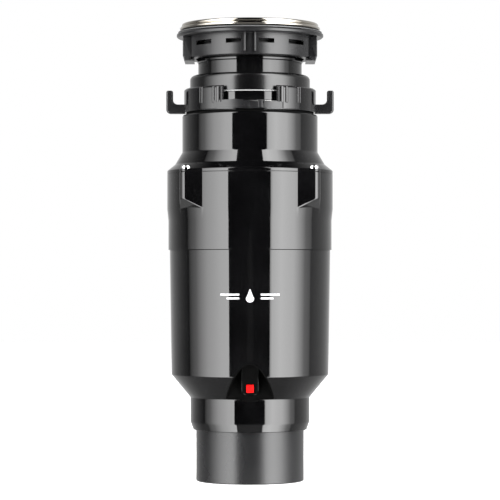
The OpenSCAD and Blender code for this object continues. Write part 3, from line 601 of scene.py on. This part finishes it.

# ---- Return spring ----
# The spring behind the reset button is wound from thin steel wire. It sits round the button's stem.
spring_low, spring_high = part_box("button_spring")
spring_turns = 5
spring_wire = 0.35 * MM
spring_r = 2.6 * MM
spring_long = spring_high[1] - spring_low[1] - 2 * spring_wire
spring_steps = spring_turns * 32
spring = bmesh.new()
bmesh.ops.create_circle(spring, cap_ends=False, segments=10, radius=spring_wire)
bmesh.ops.translate(spring, verts=spring.verts[:],
                    vec=(spring_r, spring_low[1] + spring_wire, button_z * MM))
bmesh.ops.spin(spring, geom=spring.verts[:] + spring.edges[:], cent=(0, 0, button_z * MM),
               axis=(0, 1, 0), dvec=(0, spring_long / spring_steps, 0),
               angle=math.radians(360 * spring_turns), steps=spring_steps)
bmesh.ops.holes_fill(spring, edges=spring.edges[:], sides=0)
bmesh.ops.recalc_face_normals(spring, faces=spring.faces[:])
coil = piece("return_spring", spring, bright_steel, "housing", "bright_steel", "button_spring")
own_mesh(coil)

# ---- Grinding parts ----
# The turntable, its two swivelling impellers and the slotted ring round them are stainless
# steel, and grind the waste. A rubber ring carries the grind ring and deadens its noise.
stainless = finish("stainless", metal, {
    "Color": (0.66, 0.64, 0.6, 1), "Tarnish": (0.56, 0.53, 0.49, 1), "Roughness": 0.13, "Unevenness": 0.1,
    "Lines per m": 3500.0, "Grain per m": 1500.0, "Lines over grain": 0.9, "Blotch per m": 35.0}, 0.006,
    Metallic=1.0)
dress(stainless, "grind_ring", "turntable", "impeller_a", "impeller_b", "hopper_liner")
dress(bright_steel, "impeller_rivets", "turntable_nut")
dress(rubber_black, "ring_damper", "chamber_gasket")

# ---- Chamber shell ----
# The widest casing is the same glossy black moulding as the lower shell. It has a slight step
# and four square bosses that take the screws of the top cover.
boss_reach = 55.8
boss_round = 5.2
boss_inner = 37
boss_slope_at = Vector((47.66, 47.66, 220.7)) * MM
boss_slope = Vector((0.41, 0.41, -0.814))
boss_cut_r = 65
screw_reach = 50.8
boss_face = [(boss_inner, boss_inner), (boss_reach, boss_inner)] + arc(
    (boss_reach - boss_round, boss_reach - boss_round), boss_round, 0, 90) + [(boss_inner, boss_reach)]


def four_screws(radius, low, high):
    """Four upright bars at the places of the screws."""
    return gather(*(bar(radius, low, high, (x, y), steps=24)
                    for x in (-screw_reach, screw_reach) for y in (-screw_reach, screw_reach)))


bosses = []
for quarter in (0, 90, 180, 270):
    boss = slab(boss_face, 218, cover_z, "Z")
    cut = bmesh.ops.bisect_plane(boss, geom=boss.verts[:] + boss.edges[:] + boss.faces[:],
                                 plane_co=boss_slope_at, plane_no=boss_slope, clear_outer=True)
    rim = [part for part in cut["geom_cut"] if isinstance(part, bmesh.types.BMEdge)]
    bmesh.ops.holes_fill(boss, edges=rim, sides=0)
    bmesh.ops.recalc_face_normals(boss, faces=boss.faces[:])
    inside = bar(boss_cut_r, 200, 260, (0, 0), steps=144)
    bosses.append(turned(carve(soften(boss, 0.8), ("DIFFERENCE", inside)), quarter))

chamber = soften(sector([
    (62.6, seam_z), (66.4, seam_z), (66.4, 211), (67.4, 220.6), (67.4, cover_z), (62.6, cover_z),
    (62.6, 226), (59, 226), (59, 222), (62.6, 219), (62.6, 205.7), (58.5, 204.2), (58.5, 201), (62.6, 201)
]), 0.35, 12)
chamber = carve(chamber, *(("UNION", boss) for boss in bosses),
                ("DIFFERENCE", four_screws(1.7, cover_z - 18, cover_z + 2)))
piece("chamber_shell_skin", chamber, gloss_black, "housing", "gloss_black", "chamber_shell")

# ---- Top cover ----
# The hopper's cover narrows in a cone to the neck that the lock ring turns round. Its four
# ears lie on the bosses, and a zinc-plated pan-head screw holds each of them down.
shoulder_z = 251.5
hopper_r = 55.1
land_z = 297.0
cover = soften(sector([
    (62.6, cover_z), (67.4, cover_z), (67.4, shoulder_z), (60.9, 256.7), (hopper_r, 266.6),
    (hopper_r, land_z - 1), (hopper_r - 1, land_z), (46, land_z), (46, 305), (43.2, 305), (43.2, 306.1),
    (44.8, 306.1), (44.8, 316), (41.3, 316), (41.3, 294), (52.1, 294), (52.1, 266), (57.6, 255.6),
    (62.6, shoulder_z)]), 0.6, 12)
ears = []
for quarter in (0, 90, 180, 270):
    ear = soften(slab(boss_face, cover_z, shoulder_z, "Z"), 0.5)
    inside = bar(boss_cut_r, 240, 260, (0, 0), steps=144)
    ears.append(turned(carve(ear, ("DIFFERENCE", inside)), quarter))
cover = carve(cover, *(("UNION", ear) for ear in ears),
              ("DIFFERENCE", four_screws(2.1, cover_z - 2, cover_z + 8)))
piece("top_cover_skin", cover, gloss_black, "housing", "gloss_black", "top_cover")
foam_grey = finish("foam_grey", moulded, {
    "Color": (0.13, 0.13, 0.125, 1), "Haze": (0.19, 0.19, 0.18, 1), "Roughness": 0.85, "Unevenness": 0.1,
    "Grain per m": 900.0, "Dust": 0.1, "Rubbed edges": 0.1}, 0.5)
dress(foam_grey, "insulation_sleeve")
dress(bright_steel, "shell_screws")

# ---- Lock ring ----
# The ring that holds the disposer up is a satin black moulding. It has two upright hooks for
# turning it, four thick pads, and a window front and back with a sloping rail.
ring_z = 298.8
base_top = 304.7
ring_top = 318.0
ring_r = 53.7
wall_in = 50.95
window_half = 23.7
hook_reach = 68.1
hook_w = 5.4
hook_half = 4.5
hook_bend = 4
pad_starts = (43, 119, 223, 299)
mirrored_pads = (119, 299)
pad_span = 18
ridges = ((-0.6, 1.6), (1.6, 1.6), (13.2, 2.6), (17.6, 2.8), (21.2, 1.6))
ring_parts = []
for start in (0, 180):
    ring_parts.append(soften(sector([
        (wall_in, base_top - 0.5), (ring_r, base_top - 0.5), (ring_r, ring_top - 1.2),
        (ring_r - 1.2, ring_top), (wall_in + 0.4, ring_top), (wall_in, ring_top - 0.4)
    ], start + window_half - 90, start + 90 - window_half, 56), 0.5))
for corner in pad_starts:
    ring_parts.append(soften(sector([
        (ring_r - 1, ring_z + 0.6), (ring_r + 0.6, ring_z + 0.6), (ring_r + 0.6, ring_top - 1.6),
        (ring_r - 1, ring_top - 1.6)], corner, corner + pad_span, 10), 0.4))
    ring_parts.append(sector([
        (49.35, 313.1), (wall_in + 1, 313.1), (wall_in + 1, ring_top - 0.6), (49.35, ring_top - 0.6)
    ], corner - 1, corner + pad_span + 1, 10))
    for first, width in ridges:
        start = corner + (pad_span - first - width if corner in mirrored_pads else first)
        ring_parts.append(soften(sector([
            (ring_r - 0.5, base_top - 0.5), (ring_r + 1.5, base_top - 0.5), (ring_r + 1.5, ring_top - 0.6),
            (ring_r - 0.5, ring_top - 0.6)], start, start + width, 2), 0.7))
rails = []
band_face = [(-29, 299.6), (25.6, 299.6), (25.6, 304.9), (11, 304.9), (11, 303.6), (9.6, 303.6),
             (9.6, 305.7), (6.2, 305.7), (6.2, 304), (-12, 306.4), (-29, 306)]
for start in (0, 180):
    band = sector([(ring_r - 0.5, 299), (ring_r + 1.3, 299), (ring_r + 1.3, 308), (ring_r - 0.5, 308)])
    rails.append(turned(soften(carve(band, ("INTERSECT", slab(band_face, -60, -40))), 0.3, 40), start))
    rails.append(soften(sector([
        (ring_r + 0.3, 299.8), (ring_r + 2, 299.8), (ring_r + 2, 305.9), (ring_r + 0.3, 305.9)
    ], start + 276.6, start + 280.4, 4), 0.5))
sill_face = [(-24, base_top - 0.5), (25, base_top - 0.5), (25, base_top + 0.6), (11.8, base_top + 0.6),
             (11.8, ring_z + 7.5), (7, ring_z + 7.5), (7, ring_z + 5.9), (-12.5, ring_z + 8),
             (-24, ring_z + 6.3)]
for start in (0, 180):
    wall_band = sector([(wall_in, base_top - 1), (ring_r, base_top - 1), (ring_r, 311), (wall_in, 311)])
    rails.append(turned(carve(wall_band, ("INTERSECT", slab(sill_face, -60, -40))), start))
hook = [(ring_r - 1.5, 298.2), (hook_reach - 2, 298.2), (hook_reach, 300.2), (hook_reach, 317),
        (hook_reach - hook_w, 317)]
hook += arc((hook_reach - hook_w - hook_bend, 309.7), hook_bend, 0, -90) + [(ring_r - 1.5, 305.7)]
for start in (0, 180):
    rails.append(turned(soften(slab(hook, -hook_half, hook_half), 1.7), start))
ring = soften(sector([(46.06, ring_z), (ring_r, ring_z), (ring_r, base_top), (46.06, base_top)]), 0.5)
ring = carve(ring, *(("UNION", part) for part in ring_parts))
ring_black = finish("ring_black", moulded, {
    "Color": (0.0015, 0.0015, 0.0017, 1), "Haze": (0.003, 0.003, 0.0033, 1), "Roughness": 0.06,
    "Unevenness": 0.05, "Grain per m": 1800.0, "Dust": 0.02, "Rubbed edges": 0.02}, 0.006)
piece("lock_ring_body", ring, ring_black, "lock_ring", "satin_black", "lock_ring")
rails_and_hooks = carve(rails[0], *(("UNION", rail) for rail in rails[1:]))
piece("ring_rails_and_hooks", rails_and_hooks, satin_black, "lock_ring", "satin_black")
black_steel = finish("black_steel", metal, {
    "Color": (0.03, 0.03, 0.032, 1), "Tarnish": (0.05, 0.046, 0.042, 1), "Roughness": 0.35, "Unevenness": 0.1,
    "Lines per m": 3000.0, "Grain per m": 1500.0, "Lines over grain": 0.5, "Blotch per m": 80.0}, 0.01,
    Metallic=1.0)
dress(black_steel, "snap_ring")
# The slip washer gets the same near-black, almost unreflective finish, which paints it in shade.
dress(painted_shade_black, "slip_washer")

# ---- Neck and splash guard ----
# A threaded black neck stands in a sleeve with a rounded shoulder, which enters the lock ring.
# The splash guard is black rubber, slit into petals.


def two_finishes(name, below, above, height, **shader_values):
    """Black plastic with one roughness below a height and another above it."""
    made = finish(name, moulded, {
        "Color": (0.001, 0.001, 0.0011, 1), "Haze": (0.0022, 0.0022, 0.0024, 1), "Roughness": below,
        "Unevenness": 0.03, "Grain per m": 1200.0, "Dust": 0.01, "Rubbed edges": 0.01}, 0.0015,
        **shader_values)
    tree = made.node_tree
    shader = tree.nodes["Principled BSDF"]
    skin = shader.inputs["Roughness"].links[0].from_socket
    point = add(tree, "ShaderNodeSeparateXYZ", {0: add(tree, "ShaderNodeTexCoord").outputs["Object"]})
    step = add(tree, "ShaderNodeMapRange", {
        0: point.outputs["Z"], 1: height * MM, 2: (height + 0.3) * MM, 3: 0.0, 4: above - below})
    total = add(tree, "ShaderNodeMath", {0: skin, 1: step.outputs[0]}, operation="ADD")
    tree.links.new(total.outputs[0], shader.inputs["Roughness"])
    return made


thread_foot = 343
bead_top = 315
tab_face = [(47.2, 309), (50.6, 309), (50.6, 312.7), (47.2, 312.7)]
neck_black = two_finishes("neck_black", 0.04, 0.6, thread_foot, Specular_IOR_Level=0.42)
sleeve_black = two_finishes("sleeve_black", 0.04, 0.2, bead_top)
dress(neck_black, "mounting_neck")
sleeve = sector(
    [(45.2, 306.6), (47.4, 306.6), (47.4, 313.2), (48.4, 313.2)] + arc((48.5, 314), 0.7, -80, 80, 6)
    + [(48.8, 315.2)] + arc((44.8, 325), 4, 0, 90)
    + [(42.3, 329), (42.3, 323), (40.2, 323), (40.2, 320), (45.2, 320)])
tabs = [soften(sector(tab_face, corner, corner + pad_span, 10), 0.4) for corner in pad_starts]
sleeve = carve(sleeve, *(("UNION", tab) for tab in tabs))
# The thin light grey ring laid over the sleeve's rounded bead is a painted highlight: its grey stands in for
# the bright line that the bead's edge catches.
bead_painted_highlight = finish("bead_painted_highlight", moulded, {
    "Color": (0.3, 0.3, 0.3, 1), "Haze": (0.22, 0.22, 0.22, 1), "Roughness": 0.25, "Unevenness": 0.1,
    "Grain per m": 2000.0, "Dust": 0.0, "Rubbed edges": 0.0}, 0.001)
painted_highlight_ring = sector([(48.6, 313.5), (49, 313.5)] + arc((49, 314), 0.35, -60, 60, 4) + [(48.6, 314.5)])
piece("sleeve_bead", painted_highlight_ring, bead_painted_highlight, "housing", "satin_black")
piece("neck_sleeve_body", sleeve, sleeve_black, "housing", "satin_black", "neck_sleeve")
dress(rubber_black, "splash_guard", "sink_gasket")

# ---- Mounting nut ----
# The nut that clamps the sink is a satin black moulding: a wide plate, a slotted barrel and
# pairs of rounded ribs for the wrench. A grey nylon washer slides below the gasket.
nut_z = 342.4
plate_z = 359.8
barrel_r = 50.5
nut_foot = 340.2
rib_nose = 53.1
rib_half = 0.8
rib_apart = 8.3
nut_parts = []
rib = [(barrel_r - 1, -rib_half)] + arc((rib_nose - rib_half, 0), rib_half, -90, 90)
rib += [(barrel_r - 1, rib_half)]
for turn in (0, 90, 180, 270):
    foot = nut_foot if turn in (0, 180) else nut_z + 2.6
    for side in (-rib_apart / 2, rib_apart / 2):
        bm = soften(slab([(x, y + side) for x, y in rib], foot, plate_z + 0.1, "Z"), 0.3, 60)
        nut_parts.append(turned(bm, turn))
ear_half = 18
ear_reach = 54.3
for turn in (0, 180):
    upper = [(46, -ear_half), (ear_reach, -ear_half), (ear_reach, ear_half), (46, ear_half)]
    lower = [(45.4, -ear_half), (ear_reach - 1, -ear_half), (ear_reach - 1, ear_half), (45.4, ear_half)]
    hollow = [(43, -ear_half - 1), (48, -ear_half - 1), (48, ear_half + 1), (43, ear_half + 1)]
    nut_parts.append(turned(soften(slab(upper, nut_z + 1, plate_z + 0.1, "Z"), 0.5), turn))
    lip = carve(soften(slab(lower, nut_foot, nut_z + 2, "Z"), 0.4),
                ("DIFFERENCE", slab(hollow, nut_foot + 1, nut_z + 3, "Z")))
    nut_parts.append(turned(lip, turn))
bore_r = 44
nut = soften(sector([
    (bore_r - 0.2, nut_z), (barrel_r - 0.8, nut_z), (barrel_r, nut_z + 0.8), (barrel_r, plate_z),
    (58.7, plate_z), (59.7, plate_z + 1), (59.7, plate_z + 2.7), (58.6, plate_z + 3.8),
    (50, plate_z + 3.8), (bore_r - 0.2, plate_z + 1.2)]), 0.3)
slot_half = 6.1
slots = gather(*(slab([(x - slot_half, 351.8), (x + slot_half, 351.8), (x + slot_half, 355.4),
                       (x - slot_half, 355.4)], -60, 60) for x in (-37, -13.2, 13.2, 37)))
bore = bar(bore_r, 338, plate_z + 0.8, (0, 0), steps=144)
nut = carve(nut, *(("UNION", part) for part in nut_parts), ("DIFFERENCE", slots), ("DIFFERENCE", bore))
piece("mounting_nut_body", nut, satin_black, "mounting_nut", "satin_black", "mounting_nut")
dress(nylon_grey, "nut_washer")

# ---- Sink flange ----
# The flange that is seen in the sink is rolled from stainless sheet, with two rounded beads
# round its rim, a dished throat and a straight drop tube.
flange_r = 57.15
rim_z = 365.7
flange = sector(
    [(38.9, 324), (39.9, 324), (39.9, rim_z - 5.8), (40.6, rim_z - 2.8), (42.6, rim_z - 0.8), (45.9, rim_z)]
    + arc((flange_r - 1.35, rim_z + 1.35), 1.35, -90, 62) + [(flange_r - 2, rim_z + 2.9)]
    + arc((flange_r - 2.9, rim_z + 4.1), 1.4, -30, 90)
    + [(flange_r - 7, rim_z + 4.3), (45.8, rim_z + 2.2), (42.1, rim_z + 0.8), (39.8, rim_z - 2.1),
       (38.9, rim_z - 5.6)])
rolled_steel = finish("rolled_steel", metal, {
    "Color": (0.5, 0.47, 0.42, 1), "Tarnish": (0.44, 0.41, 0.36, 1), "Roughness": 0.07, "Unevenness": 0.05,
    "Lines per m": 2600.0, "Grain per m": 1500.0, "Lines over grain": 1.0, "Blotch per m": 25.0}, 0.003,
    Metallic=1.0)
piece("sink_flange_rim", flange, rolled_steel, "housing", "stainless", "sink_flange", "flange_tube")
